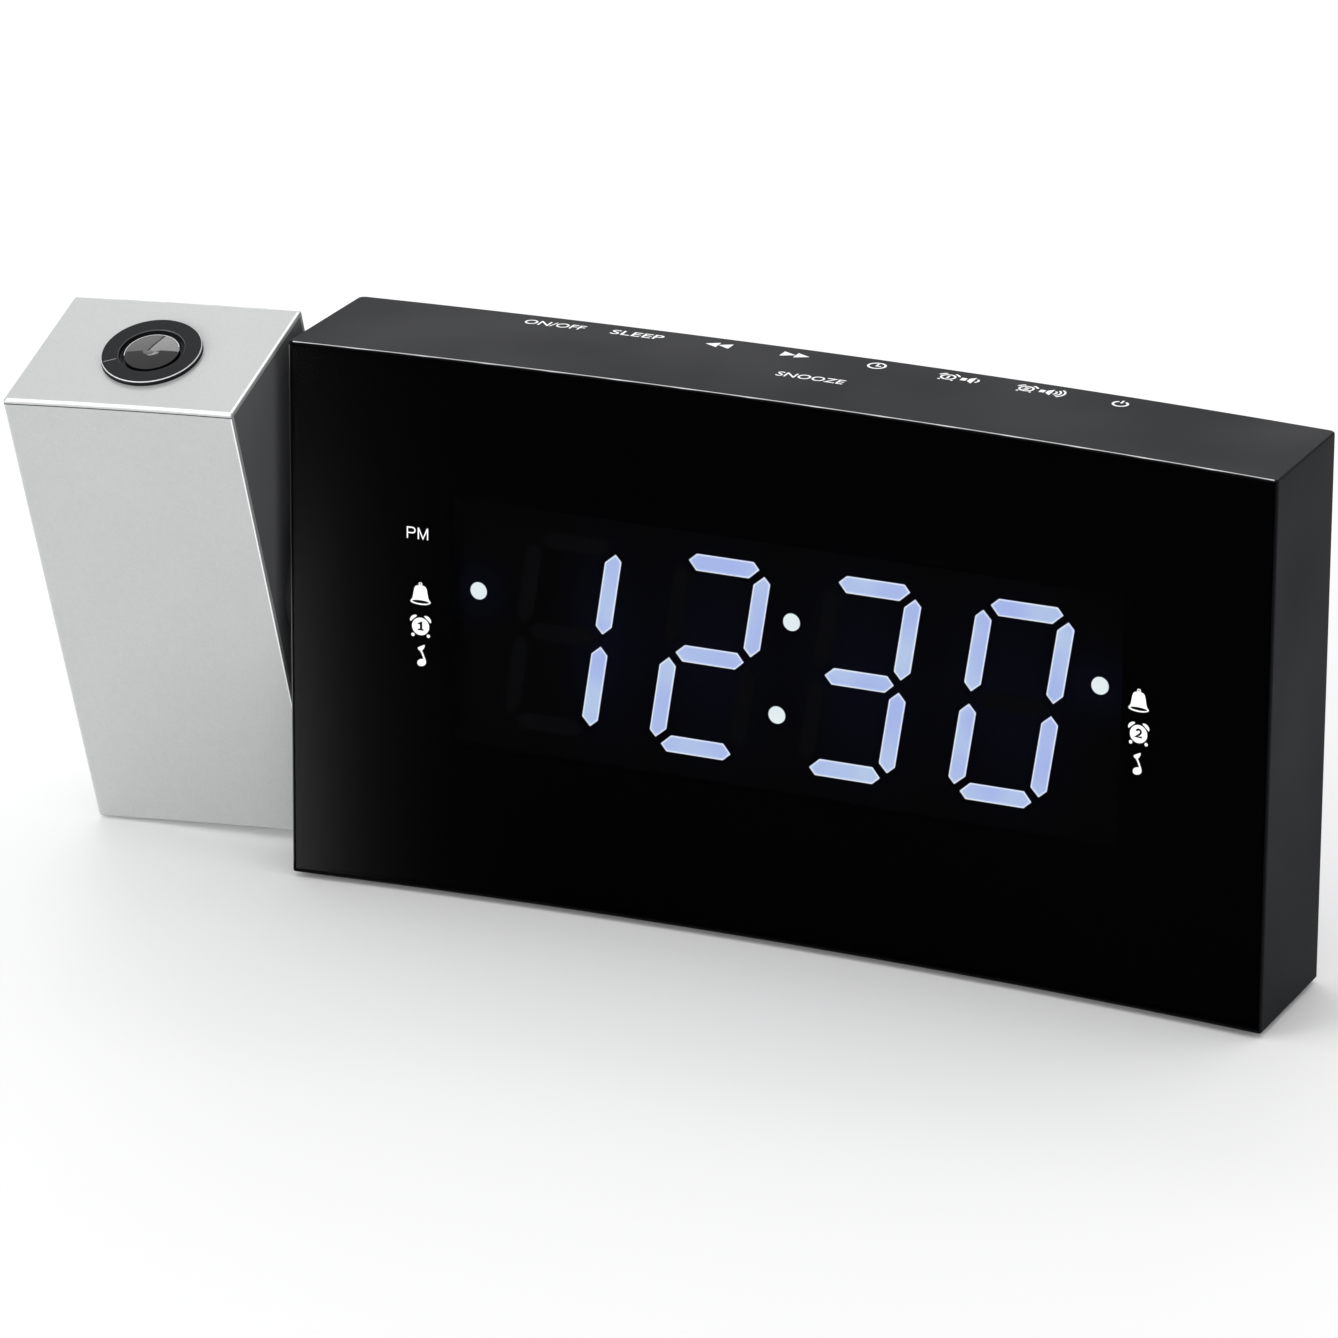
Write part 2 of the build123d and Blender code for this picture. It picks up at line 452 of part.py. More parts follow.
# ---------------------------------------------------------------- origin: bottom centre of the whole object
lo = [1e9] * 3
hi = [-1e9] * 3
for shape in parts.values():
    b = shape.bounding_box()
    for i, (m, n) in enumerate(zip((b.min.X, b.min.Y, b.min.Z), (b.max.X, b.max.Y, b.max.Z))):
        lo[i] = min(lo[i], m)
        hi[i] = max(hi[i], n)
SHIFT_Y = -(lo[1] + hi[1]) / 2
SHIFT_X = -(lo[0] + hi[0]) / 2
os.makedirs("parts", exist_ok=True)
for name, shape in parts.items():
    moved = Pos(SHIFT_X, SHIFT_Y, 0) * shape
    export_step(moved, "parts/" + name + ".step")

print("nodes", len(parts))
print("box", [round(v, 3) for v in lo], [round(v, 3) for v in hi], "shift", round(SHIFT_X, 4), round(SHIFT_Y, 4))
print("pivot", round(PIV_Y + SHIFT_Y, 4), PIV_Z, "pod x", POD_X)
t = math.radians(POD_TILT)
ax = (0, -math.sin(t), math.cos(t))
h = POD_H / 2
print("lens axis", [round(v, 6) for v in ax], "top centre", round(POD_X + SHIFT_X, 3),
      round(PIV_Y + SHIFT_Y + ax[1] * h, 3), round(PIV_Z + ax[2] * h, 3))
print("foot y", [round(y + SHIFT_Y, 3) for _, y in FEET], "jack", jx, round(jy + SHIFT_Y, 3), jz)
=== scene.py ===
import json
import math

import bmesh
import bpy
from mathutils import Matrix, Vector
from mathutils.geometry import tessellate_polygon


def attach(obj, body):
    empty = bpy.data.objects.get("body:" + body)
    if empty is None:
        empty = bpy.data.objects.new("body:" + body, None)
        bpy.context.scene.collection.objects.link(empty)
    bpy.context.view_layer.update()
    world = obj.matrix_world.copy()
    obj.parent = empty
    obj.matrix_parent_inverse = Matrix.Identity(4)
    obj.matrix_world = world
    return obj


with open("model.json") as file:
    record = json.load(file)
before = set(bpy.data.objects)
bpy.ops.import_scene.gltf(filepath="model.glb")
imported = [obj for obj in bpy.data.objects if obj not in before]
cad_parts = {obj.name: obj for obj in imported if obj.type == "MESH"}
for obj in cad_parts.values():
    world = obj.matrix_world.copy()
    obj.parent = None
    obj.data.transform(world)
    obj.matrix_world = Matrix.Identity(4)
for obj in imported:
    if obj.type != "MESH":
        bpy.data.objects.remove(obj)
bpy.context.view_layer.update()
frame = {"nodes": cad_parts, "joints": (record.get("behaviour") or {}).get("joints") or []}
nodes = frame["nodes"]

# ---------------------------------------------------------------- sizes shared with the CAD (mm)
R_FRONT = 722.0
DEPTH = 23.6
Z1 = 78.8
ZM = 39.8
DISP_Y = 2.2
POD_X, PIV_Y0, PIV_Z, POD_H, POD_TILT = -73.75, 8.0235, 40.3, 75.4, math.radians(21.3)
RING_R, RING_PROUD = 7.12, 0.7
FACE_X0, FACE_X1 = -54.27, 90.07
swivel = [j for j in frame["joints"] if j["name"] == "pod_swivel"][0]
SY = swivel["pos_m"][1] * 1000 - PIV_Y0
DIGIT_PITCH, DIGIT_MID_X, DIGIT_SLANT, DISP_Z = 22.28, 17.79, math.tan(math.radians(8.4)), ZM + 0.10
DISP_TURN = math.asin(DIGIT_MID_X / R_FRONT)


def arc_y(x, d):
    return -R_FRONT + math.sqrt((R_FRONT + d) ** 2 - x * x)


def on_front(x0, z0):
    """Local (u right, v up, w out) on the front face, in metres."""
    def place(u, v, w):
        x = x0 + u
        return Vector((x, arc_y(x, -w) + SY, z0 + v)) / 1000
    return place


def on_top(x0, d0):
    """Local (u right, v towards the back, w up) on the top face."""
    def place(u, v, w):
        x = x0 + u
        return Vector((x, arc_y(x, d0 + v) + SY, Z1 + w)) / 1000
    return place


def on_ring():
    n = Vector((0, -math.sin(POD_TILT), math.cos(POD_TILT)))
    e = Vector((0, math.cos(POD_TILT), math.sin(POD_TILT)))
    c = Vector((POD_X, PIV_Y0 + SY, PIV_Z)) + n * (POD_H / 2 + RING_PROUD)

    def place(u, v, w):
        return (c + Vector((u, 0, 0)) + e * v + n * w) / 1000
    return place


# ---------------------------------------------------------------- materials
def new_mat(name):
    m = bpy.data.materials.new(name)
    m.use_nodes = True
    nt = m.node_tree
    nt.nodes.clear()
    out = nt.nodes.new("ShaderNodeOutputMaterial")
    p = nt.nodes.new("ShaderNodeBsdfPrincipled")
    nt.links.new(p.outputs["BSDF"], out.inputs["Surface"])
    return m, nt, p


def coords(nt, stretch=(1, 1, 1)):
    tc = nt.nodes.new("ShaderNodeTexCoord")
    if stretch == (1, 1, 1):
        return tc.outputs["Object"]
    mp = nt.nodes.new("ShaderNodeMapping")
    mp.inputs["Scale"].default_value = stretch
    nt.links.new(tc.outputs["Object"], mp.inputs["Vector"])
    return mp.outputs["Vector"]


def noise(nt, vec, scale, detail=2.0, rough=0.5):
    n = nt.nodes.new("ShaderNodeTexNoise")
    n.inputs["Scale"].default_value = scale
    n.inputs["Detail"].default_value = detail
    n.inputs["Roughness"].default_value = rough
    nt.links.new(vec, n.inputs["Vector"])
    return n.outputs["Fac"]


def ramp(nt, fac, stops):
    r = nt.nodes.new("ShaderNodeValToRGB")
    els = r.color_ramp.elements
    while len(els) < len(stops):
        els.new(0.5)
    for e, (pos, col) in zip(els, stops):
        e.position = pos
        e.color = (*col, 1.0) if len(col) == 3 else col
    nt.links.new(fac, r.inputs["Fac"])
    return r.outputs["Color"]


def span(nt, fac, lo, hi, a=0.3, b=0.7):
    m = nt.nodes.new("ShaderNodeMapRange")
    m.inputs["From Min"].default_value = a
    m.inputs["From Max"].default_value = b
    m.inputs["To Min"].default_value = lo
    m.inputs["To Max"].default_value = hi
    nt.links.new(fac, m.inputs["Value"])
    return m.outputs["Result"]


def math_node(nt, op, a, b=None):
    m = nt.nodes.new("ShaderNodeMath")
    m.operation = op
    for i, v in enumerate((a, b)):
        if v is None:
            continue
        if isinstance(v, (int, float)):
            m.inputs[i].default_value = v
        else:
            nt.links.new(v, m.inputs[i])
    return m.outputs[0]


def bump(nt, p, height, strength, distance):
    b = nt.nodes.new("ShaderNodeBump")
    b.inputs["Strength"].default_value = strength
    b.inputs["Distance"].default_value = distance
    nt.links.new(height, b.inputs["Height"])
    nt.links.new(b.outputs["Normal"], p.inputs["Normal"])


def moulded(name, col, spread=0.10, rough=(0.46, 0.6), grain=4200, depth=0.00003, strength=0.25, spec=0.5, tint=30):
    """Moulded plastic: fine spark-eroded grain, slight cloudiness and roughness variation."""
    m, nt, p = new_mat(name)
    c = coords(nt)
    fine = noise(nt, c, grain, 2.0, 0.6)
    wide = noise(nt, c, tint, 2.0, 0.5)
    mix = math_node(nt, "ADD", math_node(nt, "MULTIPLY", fine, 0.55), math_node(nt, "MULTIPLY", wide, 0.45))
    lo = tuple(v * (1 - spread) for v in col)
    hi = tuple(v * (1 + spread) for v in col)
    nt.links.new(ramp(nt, mix, [(0.3, lo), (0.7, hi)]), p.inputs["Base Color"])
    nt.links.new(span(nt, wide, rough[0], rough[1]), p.inputs["Roughness"])
    p.inputs["Specular IOR Level"].default_value = spec
    bump(nt, p, fine, strength, depth)
    return m


def metal(name, col, rough=(0.22, 0.38), stretch=(1, 1, 1), scale=1500, spread=0.08, metallic=1.0):
    m, nt, p = new_mat(name)
    c = coords(nt, stretch)
    f = noise(nt, c, scale, 3.0, 0.6)
    lo = tuple(v * (1 - spread) for v in col)
    hi = tuple(min(1.0, v * (1 + spread)) for v in col)
    nt.links.new(ramp(nt, f, [(0.3, lo), (0.7, hi)]), p.inputs["Base Color"])
    nt.links.new(span(nt, f, rough[0], rough[1]), p.inputs["Roughness"])
    p.inputs["Metallic"].default_value = metallic
    bump(nt, p, f, 0.15, 0.00001)
    return m


def glow(name, stops, scale, strength, base=(0.5, 0.5, 0.52), rough=0.4):
    """Lit diffuser: emission that drifts a little in colour from one end of a bar to the other."""
    m, nt, p = new_mat(name)
    c = coords(nt)
    f = noise(nt, c, scale, 1.0, 0.5)
    nt.links.new(ramp(nt, f, stops), p.inputs["Emission Color"])
    p.inputs["Emission Strength"].default_value = strength
    p.inputs["Base Color"].default_value = (*base, 1)
    p.inputs["Roughness"].default_value = rough
    return m


def use(node, material):
    o = nodes[node]
    if not o.data.materials:
        o.data.materials.append(material)
    for i in range(len(o.data.materials)):
        o.data.materials[i] = material


def front_depth(nt, sep):
    """Depth in metres behind the curved front, from object coordinates."""
    y = math_node(nt, "ADD", sep.outputs["Y"], (R_FRONT - SY) / 1000)
    r2 = math_node(nt, "ADD", math_node(nt, "MULTIPLY", sep.outputs["X"], sep.outputs["X"]), math_node(nt, "MULTIPLY", y, y))
    return math_node(nt, "SUBTRACT", math_node(nt, "SQRT", r2), R_FRONT / 1000)


def case_mat(name, col, spread, rough, spec):
    """Moulded case plastic. The front lip, and the faces that the smoked lens covers, are painted black."""
    m, nt, p = new_mat(name)
    tc = nt.nodes.new("ShaderNodeTexCoord")
    c = tc.outputs["Object"]
    fine = noise(nt, c, 4200, 2.0, 0.6)
    wide = noise(nt, c, 30, 2.0, 0.5)
    mix = math_node(nt, "ADD", math_node(nt, "MULTIPLY", fine, 0.55), math_node(nt, "MULTIPLY", wide, 0.45))
    plain = ramp(nt, mix, [(0.3, tuple(v * (1 - spread) for v in col)), (0.7, tuple(v * (1 + spread) for v in col))])
    sep = nt.nodes.new("ShaderNodeSeparateXYZ")
    nt.links.new(c, sep.inputs[0])
    inner = math_node(nt, "MULTIPLY",
                      math_node(nt, "MULTIPLY", math_node(nt, "GREATER_THAN", sep.outputs["Z"], 0.00125),
                                math_node(nt, "LESS_THAN", sep.outputs["Z"], 0.07836)),
                      math_node(nt, "MULTIPLY", math_node(nt, "GREATER_THAN", sep.outputs["X"], FACE_X0 / 1000),
                                math_node(nt, "LESS_THAN", sep.outputs["X"], FACE_X1 / 1000)))
    lip = math_node(nt, "LESS_THAN", front_depth(nt, sep), 0.00009)
    shade = nt.nodes.new("ShaderNodeMix")
    shade.data_type = "RGBA"
    nt.links.new(math_node(nt, "MAXIMUM", inner, lip), shade.inputs[0])
    nt.links.new(plain, shade.inputs[6])
    shade.inputs[7].default_value = (0.0012, 0.0012, 0.0014, 1)
    nt.links.new(shade.outputs[2], p.inputs["Base Color"])
    nt.links.new(span(nt, wide, rough[0], rough[1]), p.inputs["Roughness"])
    p.inputs["Specular IOR Level"].default_value = spec
    bump(nt, p, fine, 0.25, 0.00003)
    return m


CASE = case_mat("case_matte", (0.0082, 0.0090, 0.0116), 0.08, (0.50, 0.62), 0.040)
REAR = moulded("rear_matte", (0.033, 0.034, 0.037), 0.10, (0.52, 0.66), strength=0.4)
KEYS = moulded("key_matte", (0.017, 0.017, 0.019), 0.12, (0.42, 0.55))
POD_SIDE = moulded("pod_side_matte", (0.105, 0.107, 0.112), 0.10, (0.48, 0.60), strength=0.35)
HUB = moulded("hub_black", (0.012, 0.012, 0.013), 0.15, (0.4, 0.55))
RING = moulded("ring_black", (0.010, 0.0105, 0.012), 0.15, (0.34, 0.42), grain=2600, strength=0.08, spec=0.07)
RUBBER = moulded("foot_rubber", (0.022, 0.022, 0.022), 0.15, (0.7, 0.85), grain=2000, strength=0.4)
NYLON = moulded("nylon", (0.70, 0.69, 0.64), 0.05, (0.4, 0.5), strength=0.1)
CHIP = moulded("chip_black", (0.018, 0.018, 0.018), 0.15, (0.5, 0.65))
LEAD = moulded("lead_grey", (0.30, 0.30, 0.31), 0.08, (0.45, 0.55))
PAPER = moulded("cone_paper", (0.035, 0.035, 0.036), 0.25, (0.8, 0.95), grain=1500, strength=0.6)
FERRITE = moulded("ferrite", (0.06, 0.06, 0.065), 0.15, (0.55, 0.7), grain=1200, strength=0.4)
SPEAKER_STEEL = metal("speaker_steel", (0.10, 0.10, 0.10), (0.35, 0.5))
SCREW = metal("screw_steel", (0.52, 0.52, 0.53), (0.25, 0.4), (1, 1, 1), 1800)
SHIELD = metal("shield_tin", (0.62, 0.62, 0.63), (0.3, 0.42), (1, 1, 8), 400)
CELL = metal("cell_steel", (0.72, 0.72, 0.72), (0.2, 0.32))
BRASS = metal("contact_brass", (0.78, 0.57, 0.24), (0.22, 0.36))
SINK = metal("sink_aluminium", (0.78, 0.78, 0.79), (0.32, 0.45), (1, 8, 1), 500)


def board_mat():
    m, nt, p = new_mat("board_green")
    c = coords(nt)
    v = nt.nodes.new("ShaderNodeTexVoronoi")
    v.feature = "DISTANCE_TO_EDGE"
    v.inputs["Scale"].default_value = 420
    nt.links.new(c, v.inputs["Vector"])
    col = ramp(nt, v.outputs["Distance"], [(0.04, (0.030, 0.20, 0.075)), (0.09, (0.014, 0.095, 0.036))])
    nt.links.new(col, p.inputs["Base Color"])
    p.inputs["Roughness"].default_value = 0.32
    bump(nt, p, v.outputs["Distance"], 0.2, 0.00002)
    return m


BOARD = board_mat()


def pod_mat():
    """Satin silver paint over plastic: metal flake, cloudy sheen, very fine grain."""
    m, nt, p = new_mat("pod_silver_paint")
    c = coords(nt)
    flake = noise(nt, c, 5200, 2.0, 0.7)
    mid = noise(nt, c, 900, 3.0, 0.6)
    wide = noise(nt, c, 28, 2.0, 0.5)
    mix = math_node(nt, "ADD", math_node(nt, "MULTIPLY", flake, 0.5),
                    math_node(nt, "ADD", math_node(nt, "MULTIPLY", mid, 0.2), math_node(nt, "MULTIPLY", wide, 0.2)))
    nt.links.new(ramp(nt, mix, [(0.29, (0.425, 0.438, 0.438)), (0.45, (0.470, 0.483, 0.482)), (0.61, (0.520, 0.531, 0.529))]),
                 p.inputs["Base Color"])
    nt.links.new(span(nt, mid, 0.34, 0.44), p.inputs["Roughness"])
    p.inputs["Metallic"].default_value = 0.30
    bump(nt, p, math_node(nt, "ADD", flake, math_node(nt, "MULTIPLY", mid, 0.4)), 0.18, 0.00003)
    return m


POD = pod_mat()


def lens_mat():
    """Deep smoked acrylic, moulded: almost all of what is behind it is held back."""
    m, nt, p = new_mat("smoked_acrylic")
    c = coords(nt)
    wide = noise(nt, c, 22, 2.0, 0.5)
    tc = nt.nodes.new("ShaderNodeTexCoord")
    sep = nt.nodes.new("ShaderNodeSeparateXYZ")
    nt.links.new(tc.outputs["Object"], sep.inputs[0])
    # painted reflection: the left end of the moulding is painted lighter, more so towards the foot
    run = math_node(nt, "MULTIPLY", math_node(nt, "ADD", sep.outputs["X"], 0.054), -175.0)
    low = math_node(nt, "ADD", math_node(nt, "MULTIPLY", sep.outputs["Z"], -11.5), 1.05)
    painted_reflection = math_node(nt, "MULTIPLY", math_node(nt, "POWER", 2.718, run), low)
    mix = math_node(nt, "ADD", painted_reflection, math_node(nt, "MULTIPLY", wide, 0.012))
    nt.links.new(ramp(nt, mix, [(0.004, (0.0002, 0.0002, 0.0004)), (0.012, (0.0005, 0.0005, 0.0008)), (1.0, (0.033, 0.032, 0.032))]),
                 p.inputs["Base Color"])
    nt.links.new(span(nt, noise(nt, c, 300, 2.0, 0.5), 0.035, 0.055), p.inputs["Roughness"])
    p.inputs["IOR"].default_value = 1.45
    p.inputs["Specular IOR Level"].default_value = 0.014
    p.inputs["Alpha"].default_value = 0.64
    return m


LENS = lens_mat()


def reflector_mat():
    """Matte black light box, with the faint blue spill of the lit digits painted round each of them as emission:
    painted glow.
    """
    m, nt, p = new_mat("reflector_black")
    tc = nt.nodes.new("ShaderNodeTexCoord")
    sep = nt.nodes.new("ShaderNodeSeparateXYZ")
    nt.links.new(tc.outputs["Object"], sep.inputs[0])
    total = None
    # painted glow: soft blue emission round each digit and indicator stands in for the lit digits' light falling on the
    # box
    spots = [(DIGIT_MID_X + DIGIT_PITCH * -1.5 + 6, DISP_Z, 7.5, 20), (DIGIT_MID_X + DIGIT_PITCH * -0.5, DISP_Z, 12.5, 21),
             (DIGIT_MID_X + DIGIT_PITCH * 0.5, DISP_Z, 12.5, 21), (DIGIT_MID_X + DIGIT_PITCH * 1.5, DISP_Z, 12.5, 21),
             (DIGIT_MID_X - 46.2, ZM + 4.6, 6, 6), (DIGIT_MID_X + 46.2, ZM + 4.6, 6, 6)]
    for x, z, rx, rz in spots:
        dx = math_node(nt, "MULTIPLY", math_node(nt, "SUBTRACT", sep.outputs["X"], x / 1000), 1000 / rx)
        dz = math_node(nt, "MULTIPLY", math_node(nt, "SUBTRACT", sep.outputs["Z"], z / 1000), 1000 / rz)
        r2 = math_node(nt, "ADD", math_node(nt, "MULTIPLY", dx, dx), math_node(nt, "MULTIPLY", dz, dz))
        fall = math_node(nt, "POWER", 2.718, math_node(nt, "MULTIPLY", r2, -1.8))
        total = fall if total is None else math_node(nt, "ADD", total, fall)
    col = ramp(nt, math_node(nt, "MULTIPLY", total, 0.8), [(0.13, (0.0, 0.0, 0.0)), (0.35, (0.0022, 0.0027, 0.0088)), (1.0, (0.010, 0.012, 0.040))])
    nt.links.new(col, p.inputs["Emission Color"])
    p.inputs["Emission Strength"].default_value = 1.0
    p.inputs["Base Color"].default_value = (0.0014, 0.0014, 0.0018, 1)
    p.inputs["Roughness"].default_value = 0.7
    return m


REFLECTOR = reflector_mat()
SEG_LIT = glow("segment_glow", [(0.30, (0.455, 0.565, 1.0)), (0.5, (0.485, 0.605, 1.0)), (0.72, (0.555, 0.70, 0.98))], 130, 6.15)
# painted highlight: brighter emission round the edge of each lit segment stands in for light caught by the reflector
# cell walls
SEG_RIM = glow("segment_rim_painted_glow", [(0.3, (0.84, 0.90, 1.0)), (0.7, (0.90, 0.96, 1.0))], 260, 6.4)
DOT_LIT = glow("dot_glow", [(0.3, (0.84, 0.95, 1.0)), (0.7, (0.90, 0.99, 1.0))], 600, 6.6)
SEG_DARK = moulded("segment_unlit", (0.055, 0.059, 0.068), 0.1, (0.4, 0.5))
LED = moulded("led_body", (0.75, 0.72, 0.42), 0.06, (0.35, 0.45))


def print_mat(name, col):
    """Pad-printed ink: slightly uneven cover."""
    m, nt, p = new_mat(name)
    c = coords(nt)
    f = noise(nt, c, 5200, 3.0, 0.6)
    lo = tuple(v * 0.88 for v in col)
    nt.links.new(ramp(nt, f, [(0.32, lo), (0.6, col)]), p.inputs["Base Color"])
    p.inputs["Roughness"].default_value = 0.5
    return m


INK = print_mat("print_white", (0.93, 0.93, 0.93))
ICON = print_mat("icon_white", (0.97, 0.97, 0.965))
TICK = print_mat("tick_grey", (0.30, 0.30, 0.30))


def optic(name, tint, alpha, spec, rough=0.02):
    m, nt, p = new_mat(name)
    c = coords(nt)
    f = noise(nt, c, 250, 2.0, 0.5)
    lo = tuple(v * 0.85 for v in tint)
    nt.links.new(ramp(nt, f, [(0.3, lo), (0.7, tint)]), p.inputs["Base Color"])
    p.inputs["Roughness"].default_value = rough
    p.inputs["IOR"].default_value = 1.55
    p.inputs["Specular IOR Level"].default_value = spec
    p.inputs["Alpha"].default_value = alpha
    return m


OPTIC = optic("lens_element", (0.006, 0.0065, 0.007), 0.93, 0.42)
CONDENSER = optic("condenser_glass", (0.55, 0.60, 0.62), 0.35, 0.5)
LCD = optic("lcd_glass", (0.10, 0.11, 0.11), 0.6, 0.5)
LED_RED = moulded("projector_led_red", (0.55, 0.05, 0.03), 0.1, (0.15, 0.25), strength=0.05)

for node, material in {
    "main_case": CASE, "rear_cover": REAR, "front_lens": LENS, "rubber_feet": RUBBER, "rear_cover_screws": SCREW,
    "board_screws": SCREW, "pod_screws": SCREW, "hub_clip": SCREW, "battery_contact": SCREW, "friction_washer": HUB,
    "pivot_bush": HUB, "display_reflector": REFLECTOR, "display_segments_lit": SEG_LIT, "display_dots": DOT_LIT,
    "display_segments_unlit": SEG_DARK, "display_leds": LED, "display_board": BOARD, "main_board": BOARD, "key_board": BOARD,
    "projector_board": BOARD, "controller_chip": CHIP, "quartz_crystal": SHIELD, "tuner_module": SHIELD, "tact_switches": CHIP,
    "speaker_frame": SPEAKER_STEEL, "speaker_magnet": FERRITE, "speaker_cone": PAPER, "dc_jack": CHIP, "dc_jack_pin": BRASS,
    "battery_holder": CHIP, "coin_cell": CELL, "battery_door": REAR, "snooze_touch_plate": BRASS, "pivot_hub": HUB,
    "pod_lead": LEAD, "lead_socket": NYLON, "pod_socket": NYLON, "pod_shell": POD, "pod_side_cover": POD_SIDE,
    "projector_housing": HUB, "heat_sink": SINK, "projector_led": LED_RED, "condenser_lens": CONDENSER,
    "projection_lens": OPTIC, "projection_lcd": LCD, "focus_ring": RING, "lens_cell": HUB,
}.items():
    use(node, material)
for node in nodes:
    if node.startswith("key_") and node != "key_board":
        use(node, KEYS)


# ---------------------------------------------------------------- flat shapes in mm: (outline, [holes])
def circle(r, n=48, c=(0, 0), b=None, rot=0.0):
    b = r if b is None else b
    cr, sr = math.cos(rot), math.sin(rot)
    out = []
    for i in range(n):
        a = 2 * math.pi * i / n
        u, v = r * math.cos(a), b * math.sin(a)
        out.append((c[0] + u * cr - v * sr, c[1] + u * sr + v * cr))
    return out


def stroke(points, w, closed=False):
    """A line of width w along points, as one outline, with mitred corners."""
    n = len(points)
    left, right = [], []
    for i, p in enumerate(points):
        dirs = []
        if i > 0 or closed:
            q = points[i - 1]
            dirs.append(Vector((p[0] - q[0], p[1] - q[1])).normalized())
        if i < n - 1 or closed:
            q = points[(i + 1) % n]
            dirs.append(Vector((q[0] - p[0], q[1] - p[1])).normalized())
        t = sum(dirs, Vector((0, 0))).normalized()
        k = 1 / max(0.5, t.dot(dirs[0]))
        nx, ny = -t.y * w / 2 * k, t.x * w / 2 * k
        left.append((p[0] + nx, p[1] + ny))
        right.append((p[0] - nx, p[1] - ny))
    return left + right[::-1]


def arc_points(c, r, a0, a1, n, b=None):
    b = r if b is None else b
    return [(c[0] + r * math.cos(math.radians(a0 + (a1 - a0) * i / n)), c[1] + b * math.sin(math.radians(a0 + (a1 - a0) * i / n)))
            for i in range(n + 1)]


def moved(shape, du, dv, k=1.0):
    return [([(u * k + du, v * k + dv) for u, v in o], [[(u * k + du, v * k + dv) for u, v in h] for h in hs]) for o, hs in shape]


def plate(name, shape, place, w0, w1, material, body):
    """Thin closed plate from flat outlines, laid on a surface of the part."""
    verts, faces = [], []
    for outline, holes in shape:
        loops = [outline] + holes
        pts = [p for loop in loops for p in loop]
        tris = tessellate_polygon([[Vector((u, v, 0)) for u, v in loop] for loop in loops])
        base = len(verts)
        n = len(pts)
        verts += [place(u, v, w1) for u, v in pts] + [place(u, v, w0) for u, v in pts]
        for a, b, c in tris:
            area = (pts[b][0] - pts[a][0]) * (pts[c][1] - pts[a][1]) - (pts[b][1] - pts[a][1]) * (pts[c][0] - pts[a][0])
            if abs(area) < 1e-9:
                continue
            t = (a, b, c) if area > 0 else (c, b, a)
            faces.append(tuple(base + i for i in t))
            faces.append(tuple(base + n + i for i in reversed(t)))
        start = 0
        for loop in loops:
            k = len(loop)
            for i in range(k):
                a, b = start + i, start + (i + 1) % k
                faces.append((base + a, base + b, base + n + b, base + n + a))
            start += k
    mesh = bpy.data.meshes.new(name)
    mesh.from_pydata([tuple(v) for v in verts], [], faces)
    bm = bmesh.new()
    bm.from_mesh(mesh)
    bmesh.ops.recalc_face_normals(bm, faces=bm.faces[:])
    bm.to_mesh(mesh)
    bm.free()
    mesh.materials.append(material)
    o = bpy.data.objects.new(name, mesh)
    bpy.context.scene.collection.objects.link(o)
    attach(o, body)
    return o


def text_shape(text, cap, width=None, weight=0.0):
    """Outlines of a word in the plain built-in face, cap height and total width in mm, centred."""
    cu = bpy.data.curves.new("tmp_text", "FONT")
    cu.body = text
    cu.size = 1.0
    cu.resolution_u = 6
    cu.fill_mode = "NONE"
    ob = bpy.data.objects.new("tmp_text", cu)
    bpy.context.scene.collection.objects.link(ob)
    bpy.context.view_layer.update()
    me = bpy.data.meshes.new_from_object(ob.evaluated_get(bpy.context.evaluated_depsgraph_get()))
    loops = []
    links = {}
    for e in me.edges:
        a, b = e.vertices
        links.setdefault(a, []).append(b)
        links.setdefault(b, []).append(a)
    seen = set()
    for s in sorted(links):
        if s in seen:
            continue
        loop, prev, cur = [], None, s
        while cur is not None and cur not in seen:
            seen.add(cur)
            loop.append((me.vertices[cur].co.x, me.vertices[cur].co.y))
            nxt = [q for q in links[cur] if q != prev and q not in seen]
            prev, cur = cur, (nxt[0] if nxt else None)
        clean = [p for i, p in enumerate(loop) if (Vector(p) - Vector(loop[i - 1])).length > 1e-5]
        if len(clean) > 2:
            loops.append(clean)
    bpy.data.objects.remove(ob)
    bpy.data.curves.remove(cu)
    bpy.data.meshes.remove(me)
    us = [u for lp in loops for u, v in lp]
    vs = [v for lp in loops for u, v in lp]
    h = max(vs) - min(vs)
    ku = (width / (max(us) - min(us))) if width else cap / h
    kv = cap / h
    cu_, cv = (max(us) + min(us)) / 2, (max(vs) + min(vs)) / 2
    loops = [[((u - cu_) * ku, (v - cv) * kv) for u, v in lp] for lp in loops]
    def inside(p, lp):
        hit, j = False, len(lp) - 1
        for i in range(len(lp)):
            if (lp[i][1] > p[1]) != (lp[j][1] > p[1]) and p[0] < (lp[j][0] - lp[i][0]) * (p[1] - lp[i][1]) / (lp[j][1] - lp[i][1]) + lp[i][0]:
                hit = not hit
            j = i
        return hit
    depth = [sum(inside(lp[0], other) for other in loops if other is not lp) for lp in loops]
    if weight:
        loops = [grow(lp, weight if d % 2 == 0 else -weight) for lp, d in zip(loops, depth)]
    shape = []
    for lp, d in zip(loops, depth):
        if d % 2 == 0:
            shape.append((lp, [h2 for h2, d2 in zip(loops, depth) if d2 == d + 1 and inside(h2[0], lp)]))
    return shape


def signed_area(lp):
    return sum(lp[i - 1][0] * lp[i][1] - lp[i][0] * lp[i - 1][1] for i in range(len(lp))) / 2


